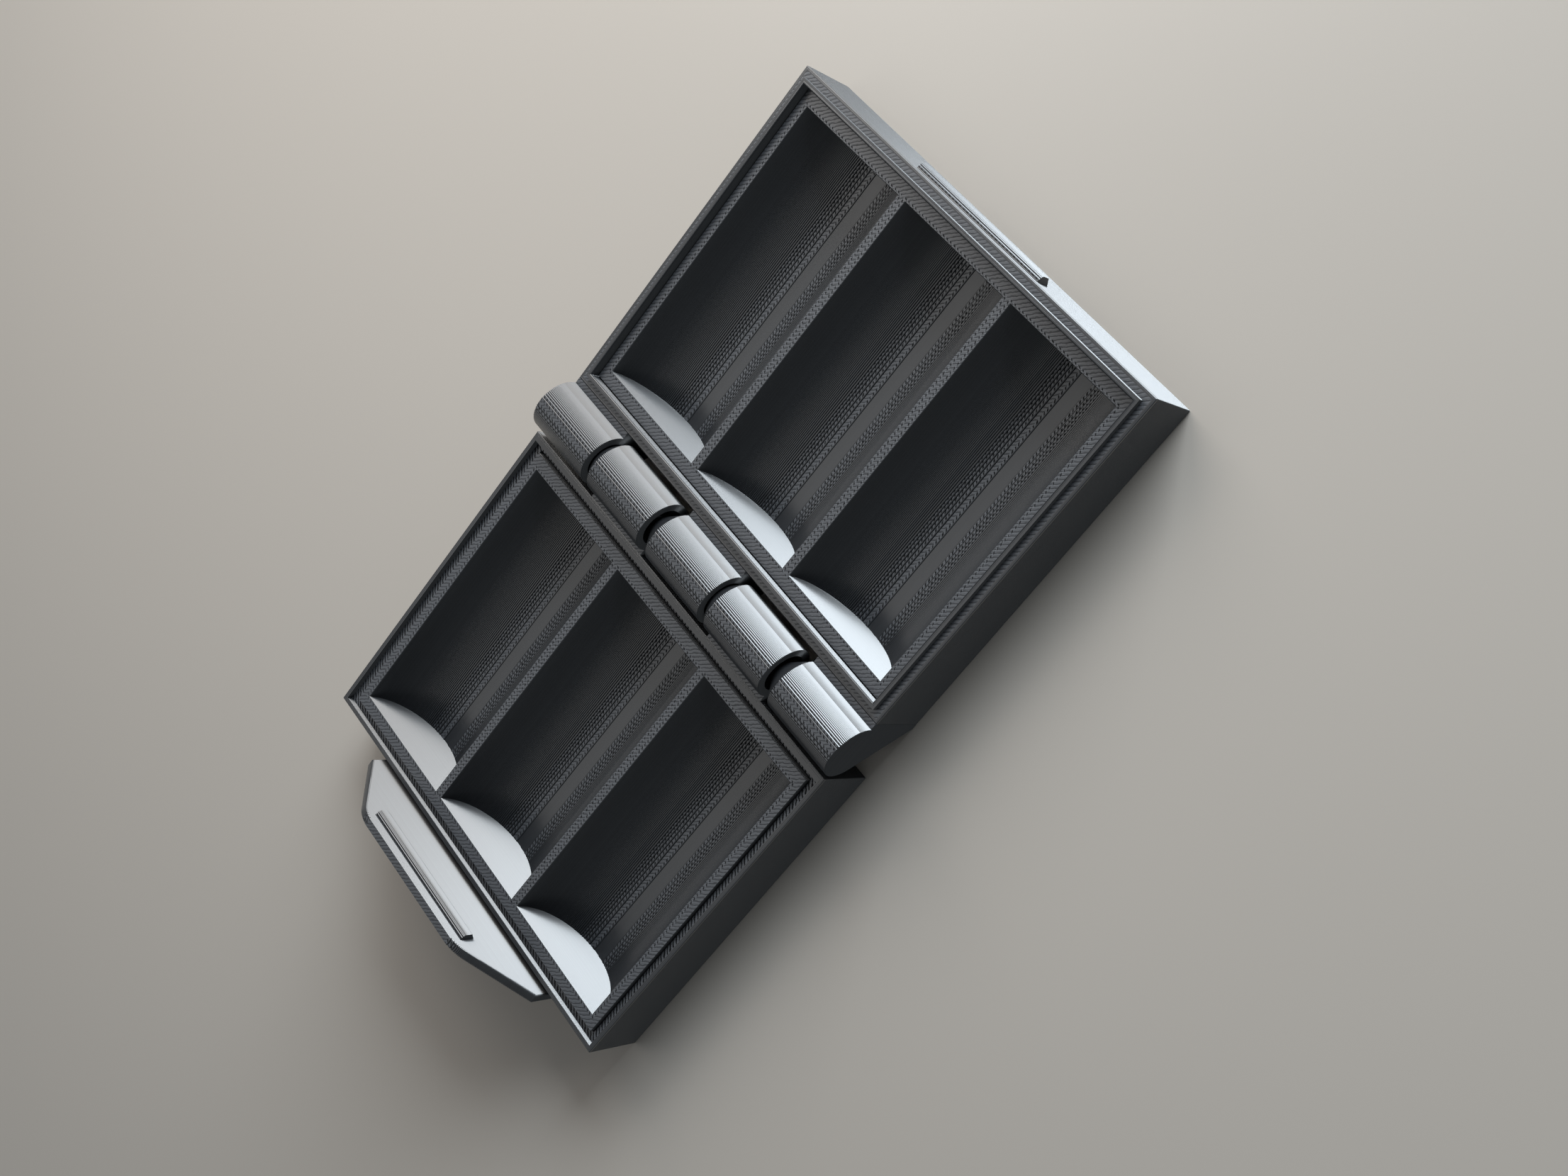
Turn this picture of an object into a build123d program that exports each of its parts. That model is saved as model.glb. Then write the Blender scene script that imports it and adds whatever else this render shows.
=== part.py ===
from build123d import *
import os
from math import sqrt

# Hinged display case for small figures, lying open on a table. Two shallow shells of the same
# outline, base and lid, are printed together and joined by a cone hinge of five knuckles.
# Each shell holds a tray with three round-bottomed troughs. The base has a lip that seats in
# the lid's rabbet, and a snap tab on the lid's front hooks under a catch on the base's front.
#
# Frame: X runs along the hinge, the base lies towards +Y, the lid towards -Y, and +Z is up.
# The origin is the middle of the open case's footprint, on the table. All sizes are in mm.

# Shells
CASE_WIDTH = 116.0  # outside, along the hinge
SHELL_LENGTH = 90.4  # outside, from back wall to front wall
SHELL_HEIGHT = 17.2  # floor to rim
WALL = 3.3
SHELL_FLOOR = 0.6
SHUT_GAP = 0.2  # left between the two rims when the case is shut

# Lip on the base's rim, and the rabbet in the lid that takes it
LIP_THICKNESS = 1.1
LIP_HEIGHT = 1.35
LIP_TOP_CLEARANCE = 0.45  # lip top to rabbet floor when shut
LIP_SIDE_CLEARANCE = 1.0  # lip to the lid's side and front rims
LIP_BACK_CLEARANCE = 0.1  # lip to the lid's back rim

# Hinge
KNUCKLE_COUNT = 5
KNUCKLE_GAP = 3.0
BARREL_RADIUS = 7.05
BARREL_TO_WALL = 1.6  # slot between a barrel and the other half's back wall
CONE_TIP_RADIUS = 1.5
CONE_PLAY = 1.1  # end play of a cone in its socket, along the hinge
LID_SHIFT = 0.6  # how far the lid lies towards -X within that play

# Trays
TRAY_CLEARANCE = 0.4  # all round, to the shell's walls
BASE_TRAY_DROP = 0.8  # tray top below the base's rim
LID_TRAY_DROP = 0.2
LID_TRAY_SHIFT = 0.3  # how far the lid's tray lies towards +X within its clearance
TROUGH_COUNT = 3
TROUGH_RADIUS = 16.45
TROUGH_PITCH = 35.4
TROUGH_FLOOR = 0.6  # left under a trough's lowest line
HINGE_END_WALL = 3.35
FRONT_END_WALL = 3.2

# Catch on the base and snap tab on the lid
CATCH_WIDTH = 40.0
CATCH_DEPTH = 1.7  # how far it stands out of the wall
CATCH_RISE = 3.0  # height of the rounded part above the nose
CATCH_DROP = 1.9  # rim to the top of the catch
TAB_WIDTH = 77.4
TAB_HEIGHT = 32.4
TAB_THICKNESS = 2.3
TAB_GAP = 2.5  # wall to tab
TAB_SHOULDER = 18.0  # height where the slanted sides start
TAB_TOP_WIDTH = 43.0  # between the slanted sides at the top, before rounding
TAB_CORNER_RADIUS = 9.5
TAB_EDGE_CHAMFER = 0.4
FOOT_HEIGHT = 3.0  # of the foot that carries the tab
RIDGE_WIDTH = 40.0
RIDGE_DEPTH = 1.6
RIDGE_RISE = 2.9
LATCH_PLAY = 1.4  # catch to ridge when shut, measured upwards

# Distances from the hinge axis, the same for both halves
BACK = BARREL_RADIUS + BARREL_TO_WALL
FRONT = BACK + SHELL_LENGTH
TAB_INNER = FRONT + TAB_GAP
TAB_OUTER = TAB_INNER + TAB_THICKNESS
POCKET_BACK = BACK + WALL
POCKET_FRONT = FRONT - WALL
POCKET_WIDTH = CASE_WIDTH - 2 * WALL

# Hinge axis, and the middle of each half along it
AXIS_HEIGHT = SHELL_HEIGHT + SHUT_GAP / 2
HINGE_Y = (TAB_OUTER - FRONT - CATCH_DEPTH) / 2
BASE_X = LID_SHIFT / 2
LID_X = -LID_SHIFT / 2
BASE_SIDE = 1
LID_SIDE = -1

# Knuckles: the cone on a knuckle's -X end starts at the barrel's full radius and narrows at
# 45 degrees, and the socket in the +X end of the knuckle beside it is the same cone, further in
# by the end play.
KNUCKLE_LENGTH = (CASE_WIDTH - (KNUCKLE_COUNT - 1) * KNUCKLE_GAP) / KNUCKLE_COUNT
KNUCKLE_PITCH = KNUCKLE_LENGTH + KNUCKLE_GAP
CONE_LENGTH = BARREL_RADIUS - CONE_TIP_RADIUS
SOCKET_RADIUS = BARREL_RADIUS - KNUCKLE_GAP + CONE_PLAY
SOCKET_DEPTH = CONE_LENGTH + CONE_PLAY - KNUCKLE_GAP

# Heights on the two fronts
CATCH_BOTTOM = SHELL_HEIGHT - CATCH_DROP - CATCH_RISE - CATCH_DEPTH
RIDGE_BOTTOM = 2 * AXIS_HEIGHT - CATCH_BOTTOM + LATCH_PLAY


def half_rectangle(side, x_middle, width, near, far, mode=Mode.ADD):
    """Rectangle in one half, from one distance from the hinge axis to another."""
    with Locations((x_middle, HINGE_Y + side * (near + far) / 2)):
        Rectangle(width, far - near, mode=mode)


def knuckle_section(side, x_start):
    """Section of a knuckle: the barrel, and the web to its own back wall.

    The web is level with the rim on top. Its underside is a 45 degree line that leaves the
    barrel at a tangent and runs down to the table, so that it prints without support.
    """
    lean = BARREL_RADIUS / sqrt(2)
    reach = AXIS_HEIGHT + BACK
    with BuildSketch(Plane.YZ.offset(x_start)) as section:
        with BuildLine():
            Polyline(
                (HINGE_Y, SHELL_HEIGHT),
                (HINGE_Y - side * lean, AXIS_HEIGHT - lean),
                (HINGE_Y + side * (reach - lean), AXIS_HEIGHT - lean - reach),
                (HINGE_Y + side * (reach - lean), SHELL_HEIGHT),
                close=True,
            )
        make_face()
        with Locations((HINGE_Y + side * (BACK - BARREL_RADIUS) / 2, SHELL_HEIGHT / 2)):
            Rectangle(BACK + BARREL_RADIUS, SHELL_HEIGHT, mode=Mode.INTERSECT)
        with Locations((HINGE_Y, AXIS_HEIGHT)):
            Circle(BARREL_RADIUS)
    return section.sketch


def hinge_cone(x_base, base_radius, length, mode):
    """Cone on the hinge axis that narrows to the tip radius towards -X."""
    with Locations(Plane(origin=(x_base, HINGE_Y, AXIS_HEIGHT), z_dir=(-1, 0, 0))):
        Cone(
            base_radius,
            CONE_TIP_RADIUS,
            length,
            align=(Align.CENTER, Align.CENTER, Align.MIN),
            mode=mode,
        )


def add_knuckles(side, x_middle, numbers):
    """Knuckles of one half, counted from the -X end of the hinge."""
    for number in numbers:
        x_centre = x_middle + (number - (KNUCKLE_COUNT - 1) / 2) * KNUCKLE_PITCH
        x_start = x_centre - KNUCKLE_LENGTH / 2
        extrude(knuckle_section(side, x_start), amount=KNUCKLE_LENGTH)
        if number > 0:
            hinge_cone(x_start, BARREL_RADIUS, CONE_LENGTH, Mode.ADD)
        if number < KNUCKLE_COUNT - 1:
            hinge_cone(x_start + KNUCKLE_LENGTH, SOCKET_RADIUS, SOCKET_DEPTH, Mode.SUBTRACT)


def add_snap_ridge(x_middle, y_face, z_bottom, width, depth, rise):
    """Ridge that stands out of a face towards +Y: 45 degree underside and rounded top."""
    plane = Plane(origin=(x_middle, y_face, z_bottom), x_dir=(0, 1, 0), z_dir=(1, 0, 0))
    with BuildSketch(plane) as profile:
        with BuildLine():
            underside = Line((0, 0), (depth, depth))
            crown = TangentArc(underside @ 1, (0, depth + rise), tangent=(0, 1))
            Line(crown @ 1, (0, 0))
        make_face()
    extrude(profile.sketch, amount=width / 2, both=True)


def add_shell(side, x_middle, knuckles):
    """Open box of one half with its share of the hinge."""
    with BuildSketch(Plane.XY) as outline:
        half_rectangle(side, x_middle, CASE_WIDTH, BACK, FRONT)
    extrude(outline.sketch, amount=SHELL_HEIGHT)
    add_knuckles(side, x_middle, knuckles)
    with BuildSketch(Plane.XY.offset(SHELL_FLOOR)) as pocket:
        half_rectangle(side, x_middle, POCKET_WIDTH, POCKET_BACK, POCKET_FRONT)
    extrude(pocket.sketch, amount=SHELL_HEIGHT, mode=Mode.SUBTRACT)


def add_tray(side, x_middle, top):
    """Tray block with its troughs. Each trough is a stretch of a lying cylinder."""
    near = POCKET_BACK + TRAY_CLEARANCE
    far = POCKET_FRONT - TRAY_CLEARANCE
    with BuildSketch(Plane.XY.offset(SHELL_FLOOR)) as outline:
        half_rectangle(side, x_middle, POCKET_WIDTH - 2 * TRAY_CLEARANCE, near, far)
    extrude(outline.sketch, amount=top - SHELL_FLOOR)

    trough_near = near + HINGE_END_WALL
    trough_far = far - FRONT_END_WALL
    trough_axis = SHELL_FLOOR + TROUGH_FLOOR + TROUGH_RADIUS
    middle = (x_middle, HINGE_Y + side * (trough_near + trough_far) / 2, trough_axis)
    with BuildSketch(Plane(origin=middle, x_dir=(1, 0, 0), z_dir=(0, -1, 0))) as troughs:
        with GridLocations(TROUGH_PITCH, 0, TROUGH_COUNT, 1):
            Circle(TROUGH_RADIUS)
    extrude(
        troughs.sketch,
        amount=(trough_far - trough_near) / 2,
        both=True,
        mode=Mode.SUBTRACT,
    )


os.makedirs("parts", exist_ok=True)

# Base shell: knuckles 0, 2 and 4, the lip round its rim and the catch on its front wall
with BuildPart() as base_shell:
    add_shell(BASE_SIDE, BASE_X, range(0, KNUCKLE_COUNT, 2))
    lip_width = POCKET_WIDTH + 2 * LIP_THICKNESS
    with BuildSketch(Plane.XY.offset(SHELL_HEIGHT)):
        half_rectangle(
            BASE_SIDE, BASE_X, lip_width, POCKET_BACK - LIP_THICKNESS, POCKET_FRONT + LIP_THICKNESS
        )
        half_rectangle(
            BASE_SIDE, BASE_X, POCKET_WIDTH, POCKET_BACK, POCKET_FRONT, mode=Mode.SUBTRACT
        )
    extrude(amount=LIP_HEIGHT)
    add_snap_ridge(BASE_X, HINGE_Y + FRONT, CATCH_BOTTOM, CATCH_WIDTH, CATCH_DEPTH, CATCH_RISE)
base_shell.part.label = "base_shell"
export_step(base_shell.part, "parts/base_shell.step")

# Lid shell: knuckles 1 and 3, the rabbet inside its rim and the foot that carries the tab
with BuildPart() as lid_shell:
    add_shell(LID_SIDE, LID_X, range(1, KNUCKLE_COUNT, 2))
    rabbet_width = lip_width + 2 * LIP_SIDE_CLEARANCE
    rabbet_near = POCKET_BACK - LIP_THICKNESS - LIP_BACK_CLEARANCE
    rabbet_far = POCKET_FRONT + LIP_THICKNESS + LIP_SIDE_CLEARANCE
    rabbet_depth = LIP_HEIGHT + LIP_TOP_CLEARANCE - SHUT_GAP
    with BuildSketch(Plane.XY.offset(SHELL_HEIGHT - rabbet_depth)):
        half_rectangle(LID_SIDE, LID_X, rabbet_width, rabbet_near, rabbet_far)
    extrude(amount=rabbet_depth, mode=Mode.SUBTRACT)
    with BuildSketch(Plane.XY):
        half_rectangle(LID_SIDE, LID_X, TAB_WIDTH, FRONT, TAB_OUTER)
    extrude(amount=FOOT_HEIGHT)
lid_shell.part.label = "lid_shell"
export_step(lid_shell.part, "parts/lid_shell.step")

# Latch tab: a plate on the lid's foot, with slanted shoulders, rounded top corners and the
# ridge that hooks under the catch
with BuildPart() as latch_tab:
    tab_face = Plane(origin=(LID_X, HINGE_Y - TAB_INNER, 0), x_dir=(1, 0, 0), z_dir=(0, -1, 0))
    with BuildSketch(tab_face):
        with BuildLine():
            Polyline(
                (-TAB_WIDTH / 2, FOOT_HEIGHT),
                (TAB_WIDTH / 2, FOOT_HEIGHT),
                (TAB_WIDTH / 2, TAB_SHOULDER),
                (TAB_TOP_WIDTH / 2, TAB_HEIGHT),
                (-TAB_TOP_WIDTH / 2, TAB_HEIGHT),
                (-TAB_WIDTH / 2, TAB_SHOULDER),
                close=True,
            )
        plate = make_face()
        fillet(plate.vertices().group_by(Axis.Y)[-1], TAB_CORNER_RADIUS)
    extrude(amount=TAB_THICKNESS)
    inner_edges = latch_tab.faces().sort_by(Axis.Y)[-1].edges()
    chamfer(inner_edges.sort_by(Axis.Z)[1:], TAB_EDGE_CHAMFER)
    add_snap_ridge(
        LID_X, HINGE_Y - TAB_INNER, RIDGE_BOTTOM, RIDGE_WIDTH, RIDGE_DEPTH, RIDGE_RISE
    )
latch_tab.part.label = "latch_tab"
export_step(latch_tab.part, "parts/latch_tab.step")

# Trays, one in each shell
with BuildPart() as base_tray:
    add_tray(BASE_SIDE, BASE_X, SHELL_HEIGHT - BASE_TRAY_DROP)
base_tray.part.label = "base_tray"
export_step(base_tray.part, "parts/base_tray.step")

with BuildPart() as lid_tray:
    add_tray(LID_SIDE, LID_X + LID_TRAY_SHIFT, SHELL_HEIGHT - LID_TRAY_DROP)
lid_tray.part.label = "lid_tray"
export_step(lid_tray.part, "parts/lid_tray.step")
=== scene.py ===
# %% [markdown]
# A printed display case for small figures, lying open.
# The real object comes from a filament printer, and almost all that the eye reads on it is the
# print itself: thin layers on every side, steps where a round form nears the level, and lines,
# strokes and pinholes on the faces that look up. So every piece here is built in layers, as the
# printer builds it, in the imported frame, which gives all places and the moving bodies.

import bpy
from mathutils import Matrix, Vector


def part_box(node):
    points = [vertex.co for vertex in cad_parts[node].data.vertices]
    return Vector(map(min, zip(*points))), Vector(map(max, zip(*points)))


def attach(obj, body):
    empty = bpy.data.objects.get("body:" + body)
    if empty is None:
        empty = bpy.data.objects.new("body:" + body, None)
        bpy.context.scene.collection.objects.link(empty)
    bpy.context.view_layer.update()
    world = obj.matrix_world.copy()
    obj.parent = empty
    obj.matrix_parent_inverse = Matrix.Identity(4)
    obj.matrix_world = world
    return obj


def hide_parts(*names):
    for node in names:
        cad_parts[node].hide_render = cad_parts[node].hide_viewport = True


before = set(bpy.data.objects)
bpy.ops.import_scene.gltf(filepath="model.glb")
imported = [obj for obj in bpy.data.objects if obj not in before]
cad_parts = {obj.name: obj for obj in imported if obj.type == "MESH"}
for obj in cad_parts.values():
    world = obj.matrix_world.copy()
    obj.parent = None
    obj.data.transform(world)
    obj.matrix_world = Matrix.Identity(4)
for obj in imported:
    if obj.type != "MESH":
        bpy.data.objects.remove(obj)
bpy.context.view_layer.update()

# %% [markdown]
# Print settings. A printer lays lines of one width in layers of one height, and these two sizes
# set the grain of the whole object. They were read from the steps and lines in the photograph.

# %% Modules and print settings
from math import radians, sqrt

import bmesh
import bpy
from mathutils import Vector

MM = 0.001
LAYER = 0.2 * MM  # height of one printed layer
LINE = 0.42 * MM  # width of one printed line
PINHOLE = 0.34 * MM  # width of the row of pinholes beside it
print("layer", LAYER, "line", LINE)

# %% [markdown]
# Sizes of the case. The frame gives the outer boxes of the nodes. The walls, the lip, the hinge
# and the latch are named here, because a box doesn't show them. Everything else follows.

# %% Sizes from the frame
WALL = 3.3 * MM
SHELL_FLOOR = 0.6 * MM
LIP_THICKNESS = 1.1 * MM  # the lip stands on the base's rim
LIP_HEIGHT = 1.35 * MM
LID_RIM = 1.2 * MM  # what the rabbet leaves of the lid's wall
LID_BACK_RIM = 2.1 * MM
RABBET_DEPTH = 1.6 * MM
BARREL_RADIUS = 7.05 * MM
BARREL_TO_WALL = 1.6 * MM
CATCH_DEPTH = 1.7 * MM
HALF_GAP = 0.1 * MM  # each rim stays this far from the hinge's level

base_low, base_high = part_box("base_shell")
lid_low, lid_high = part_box("lid_shell")
tab_low, tab_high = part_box("latch_tab")
hinge_y = base_low.y + BARREL_RADIUS
hinge_z = base_high.z - BARREL_RADIUS
BACK = BARREL_RADIUS + BARREL_TO_WALL
base_back = hinge_y + BACK
base_front = base_high.y - CATCH_DEPTH
lid_back = hinge_y - BACK
lid_front = lid_back - (base_front - base_back)
rim_z = round((hinge_z - HALF_GAP) / LAYER) * LAYER
print("hinge at y", round(hinge_y, 5), "z", round(hinge_z, 5), "rim", round(rim_z, 5))

# %% [markdown]
# Helpers for working as by hand. An operator acts on all that is selected, so each new piece
# starts from an empty selection. In edit mode one would click on faces, edges or points. Here
# they are picked by where they are and which way they look, which works for any size.

# %% Selecting
def select_none():
    """Leaves edit mode and deselects every object."""
    if bpy.context.object and bpy.context.object.mode != "OBJECT":
        bpy.ops.object.mode_set(mode="OBJECT")
    bpy.ops.object.select_all(action="DESELECT")


def edit(piece):
    """Selects one piece alone and enters edit mode on it."""
    select_none()
    bpy.context.view_layer.objects.active = piece
    piece.select_set(True)
    bpy.ops.object.mode_set(mode="EDIT")


def pick_faces(piece, wanted):
    """In edit mode, selects the faces whose centre and normal pass a test."""
    bpy.ops.mesh.select_mode(type="FACE")
    bpy.ops.mesh.select_all(action="DESELECT")
    mesh = bmesh.from_edit_mesh(piece.data)
    for face in mesh.faces:
        face.select = wanted(face.calc_center_median(), face.normal)
    mesh.select_flush_mode()
    bmesh.update_edit_mesh(piece.data)


def pick_edges(piece, wanted):
    """In edit mode, selects the edges whose two ends pass a test, and those between them."""
    bpy.ops.mesh.select_mode(type="EDGE")
    bpy.ops.mesh.select_all(action="DESELECT")
    mesh = bmesh.from_edit_mesh(piece.data)
    for edge in mesh.edges:
        edge.select = wanted(edge.verts[0].co, edge.verts[1].co)
    mesh.select_flush(True)
    bmesh.update_edit_mesh(piece.data)


def pick_verts(piece, wanted):
    """In edit mode, selects the vertices that pass a test."""
    bpy.ops.mesh.select_mode(type="VERT")
    bpy.ops.mesh.select_all(action="DESELECT")
    mesh = bmesh.from_edit_mesh(piece.data)
    for vert in mesh.verts:
        vert.select = wanted(vert)
    bmesh.update_edit_mesh(piece.data)


def copy_along_x(piece, distance):
    """Duplicates a piece, moves the copy along X and applies its place."""
    select_none()
    piece.select_set(True)
    bpy.context.view_layer.objects.active = piece
    bpy.ops.object.duplicate(linked=False)
    bpy.ops.transform.translate(value=(distance, 0, 0))
    bpy.ops.object.transform_apply(location=True, rotation=False, scale=False)
    return bpy.context.object


def apply_modifier(piece, modifier):
    """Applies a modifier for good."""
    select_none()
    bpy.context.view_layer.objects.active = piece
    bpy.ops.object.modifier_apply(modifier=modifier.name)


def join(pieces, name):
    """Joins pieces into the first one, which keeps the name given."""
    select_none()
    for piece in pieces:
        piece.select_set(True)
    bpy.context.view_layer.objects.active = pieces[0]
    bpy.ops.object.join()
    pieces[0].name = name
    pieces[0].data.name = name
    return pieces[0]


print("selection helpers ready")

# %% [markdown]
# Two ways to start a piece. A box is a cube primitive at its place. A stepped form, such as a
# barrel or a trough, is one edge that is extruded along the outline of its layers: up a riser,
# in along a tread, and so on, as one would draw it by hand with many small extrusions. A round
# primitive would be smoother than the print, and its steps would have to be cut afterwards.
# Each piece gets the same four finishes, so every face can name its own from the start: plain
# layered wall, single printed line, row of pinholes, and infill.

# %% Starting a piece
WALL_SLOT, LINE_SLOT, PINHOLE_SLOT, INFILL_SLOT = range(4)
TINY = 0.004 * MM  # points closer than this are welded
NEAR = 0.01 * MM  # places closer than this count as one
FINISH_NAMES = ("printed_wall", "printed_line", "printed_pinholes", "printed_infill")
finishes = [bpy.data.materials.new(name) for name in FINISH_NAMES]


def add_slots(piece):
    """Gives a piece the four finishes, so that a join keeps the slot of every face."""
    for finish in finishes:
        piece.data.materials.append(finish)
    return piece


def add_box(name, low, high):
    """Cube primitive from its lowest to its highest corner, with its place applied."""
    select_none()
    middle = [(a + b) / 2 for a, b in zip(low, high)]
    size = [b - a for a, b in zip(low, high)]
    bpy.ops.mesh.primitive_cube_add(size=1, location=middle, scale=size)
    bpy.ops.object.transform_apply(location=True, rotation=False, scale=True)
    piece = bpy.context.object
    piece.name = name
    return add_slots(piece)


def extrude_outline(name, start, end, moves):
    """Extrudes the edge from start to end along moves, each one (step, slot of its face)."""
    select_none()
    bpy.ops.mesh.primitive_plane_add(size=1)
    piece = bpy.context.object
    piece.name = name
    add_slots(piece)
    bpy.ops.object.mode_set(mode="EDIT")
    pick_edges(piece, lambda a, b: a.y > 0 and b.y > 0)
    bpy.ops.mesh.delete(type="VERT")
    bpy.ops.object.mode_set(mode="OBJECT")
    piece.data.vertices[0].co = start
    piece.data.vertices[1].co = end
    bpy.ops.object.mode_set(mode="EDIT")
    bpy.ops.mesh.select_mode(type="EDGE")
    bpy.ops.mesh.select_all(action="SELECT")
    for step, _ in moves:
        bpy.ops.mesh.extrude_region_move(TRANSFORM_OT_translate={"value": step})
    bpy.ops.object.mode_set(mode="OBJECT")
    for face, (_, slot) in zip(piece.data.polygons, moves):
        face.material_index = slot
    return piece


def close_ends(piece):
    """Welds an extruded outline, fills its two ends and turns its faces outwards."""
    edit(piece)
    bpy.ops.mesh.select_all(action="SELECT")
    bpy.ops.mesh.remove_doubles(threshold=TINY)
    bpy.ops.mesh.fill_holes(sides=0)
    bpy.ops.mesh.select_all(action="SELECT")
    bpy.ops.mesh.normals_make_consistent(inside=False)
    bpy.ops.object.mode_set(mode="OBJECT")
    return piece


print("box and outline helpers ready")

# %% [markdown]
# The layers of a round form. A printed layer isn't a square step: the plastic bulges as a bead,
# with a groove above and below it. Where a layer stands out from the next, its first line is
# crowned too, then come the pinholes of the turning nozzle and the infill, and a narrow gap
# where the next layer begins. A bump map could hint at all this, but only real slopes of about
# 45 degrees mirror the window as bright, broken stripes the way the real barrels do. The tables
# below are the section of one bead, in millimetres in from its edge and shares of its height.


# %% Layers of a round form
def layer_spans(bottom, top):
    """Lowest and highest level of each printed layer between two heights."""
    level = bottom
    while level < top - NEAR:
        above = min(round(level / LAYER + 1) * LAYER, top)
        yield level, above
        level = above


def half_chord(radius, offset):
    """Half the width of a circle at a distance from its centre."""
    return sqrt(max(radius**2 - offset**2, 0.0))


BEAD = ((0.14, 0.0), (0.035, 0.12), (0.0, 0.3))  # every bead, from its lower joint up
CROWN = ((0.03, 0.62), (0.07, 0.8), (0.15, 0.9), (0.3, 1.0))  # top of a low, flat bead
STEEP_CROWN = ((0.08, 0.66), (0.15, 0.97), (0.3, 1.0))  # top of a bead on an outer side
JOINT_PULL = 0.14 * MM
GAP_WIDTH = 0.25 * MM
GAP_SHARE = 0.4  # most of a tread that its gap may take
GAP_DEPTH = 0.3 * MM
SLIGHT_CROWN = 0.03  # rise of a tread between its crowned line and its gap, in layers
CROWN_MARGIN = 0.03 * MM  # a crown stops this far before the next joint
NARROWEST_ROW = 0.15 * MM
NARROWEST_GAP = 0.1 * MM
SHORTEST_MOVE = 0.0005 * MM


def layered_side(layers, out, end, crown=STEEP_CROWN):
    """Profile of stacked layer edges, from the lowest joint up to the point (end, top).

    Layers are (edge, low, high), and out is the way the edges bulge. Every point is (across,
    up, slot), with the slot of the face that leads to it. Where a layer stands out from the
    one above, its first line slopes to its edge, and its pinholes and infill follow.
    """
    points = []
    slot = None
    for number, (edge, low, high) in enumerate(layers):
        height = high - low
        for pull, share in BEAD:
            points.append((edge - out * pull * MM, low + share * height, slot))
            slot = WALL_SLOT
        last = number == len(layers) - 1
        next_joint = end if last else layers[number + 1][0] - out * JOINT_PULL
        run = out * (edge - next_joint)
        if run > JOINT_PULL + TINY:
            slot = LINE_SLOT
            gap = 0.0 if last else min(GAP_WIDTH, GAP_SHARE * run)
            for pull, share in crown:
                if pull * MM < run - max(gap, CROWN_MARGIN):
                    points.append((edge - out * pull * MM, low + share * height, slot))
            row_end = min(LINE + PINHOLE, run - gap)
            if row_end > crown[-1][0] * MM + NARROWEST_ROW:
                points.append((edge - out * row_end, high, PINHOLE_SLOT))
                slot = INFILL_SLOT
            if gap > NARROWEST_GAP:
                crest = min(high, points[-1][1] + SLIGHT_CROWN * height)
                if run - gap > row_end + TINY or slot != INFILL_SLOT:
                    points.append((next_joint + out * gap, crest, slot))
                points.append((next_joint, high - GAP_DEPTH, WALL_SLOT))
                slot = WALL_SLOT
    points.append((end, layers[-1][2], slot))
    return points


def turned_round(points):
    """The same profile walked the other way."""
    slots = [None] + [slot for *_, slot in points[:0:-1]]
    return [(across, up, slot) for (across, up, _), slot in zip(points[::-1], slots)]


def outline_moves(points, place):
    """Moves between the points of a profile, with the slot of each face.

    A move too short to matter isn't dropped: it is added to the next one, so that the outline
    still ends where it should.
    """
    moves = []
    here = points[0]
    for there in points[1:]:
        across, up = there[0] - here[0], there[1] - here[1]
        if max(abs(across), abs(up)) > SHORTEST_MOVE:
            moves.append((place(across, up), there[2] or WALL_SLOT))
            here = there
    return moves


print("first layers", [tuple(round(v / MM, 2) for v in s) for s in layer_spans(0, 0.5 * MM)])

# %% [markdown]
# Flat upright faces get their layers by slicing, as a slicing program does it: the faces are
# bisected at every joint between two layers and at two heights inside each layer. Then the
# joints are pulled in, square to the face, and a bead is left per layer. Where such a face ends
# a round form, the crowns of that form leave points at more heights, and these are pulled in to
# the same bead.

# %% Slicing flat faces into layers
CROWN_PULLS = ((0.064, 0.62), (0.072, 0.66), (0.10, 0.8), (0.12, 0.9), (0.133, 0.965))
TOP_JOINT = 0.995  # a share above this is the joint at the foot of the next layer
SAME_SHARE = 0.02


def cut_layers(piece, low, high, wanted):
    """Bisects the wanted faces at every layer between two heights."""
    edit(piece)
    pick_faces(piece, wanted)
    bpy.ops.mesh.hide(unselected=True)
    for below, above in layer_spans(low, high):
        for _, share in BEAD:
            level = below + share * (above - below)
            if level < low + TINY:
                continue
            bpy.ops.mesh.select_all(action="SELECT")
            bpy.ops.mesh.bisect(
                plane_co=(0, 0, level), plane_no=(0, 0, 1), threshold=0.5 * TINY
            )
    bpy.ops.mesh.reveal(select=False)
    bpy.ops.object.mode_set(mode="OBJECT")


def share_of(level, low, high):
    """Where in its own layer a height lies, from 0 at the lower joint to 1 at the upper."""
    for below, above in layer_spans(low, high):
        if level < above + TINY:
            return (level - below) / (above - below)
    return 0.0


def round_layers(piece, low, high, wanted, way=None):
    """Pulls in the sliced joints: along a fixed way, or square to the face when way is None."""
    edit(piece)
    shares = {}

    def share_at(vert):
        key = round(vert.co.z / MM, 3)
        if key not in shares:
            shares[key] = share_of(vert.co.z, low, high) % TOP_JOINT
        return shares[key]

    for pull, share in (*BEAD, *CROWN_PULLS):
        pick_verts(piece, lambda v: abs(share_at(v) - share) < SAME_SHARE and wanted(v))
        if way is None:
            bpy.ops.transform.shrink_fatten(value=-pull * MM, use_even_offset=True)
        else:
            bpy.ops.transform.translate(value=[-w * pull * MM for w in way])
    bpy.ops.object.mode_set(mode="OBJECT")


def is_upright(vert):
    """True for a point between upright faces only."""
    return all(abs(face.normal.z) < 0.1 for face in vert.link_faces)


print("slicing helpers ready")

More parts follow.
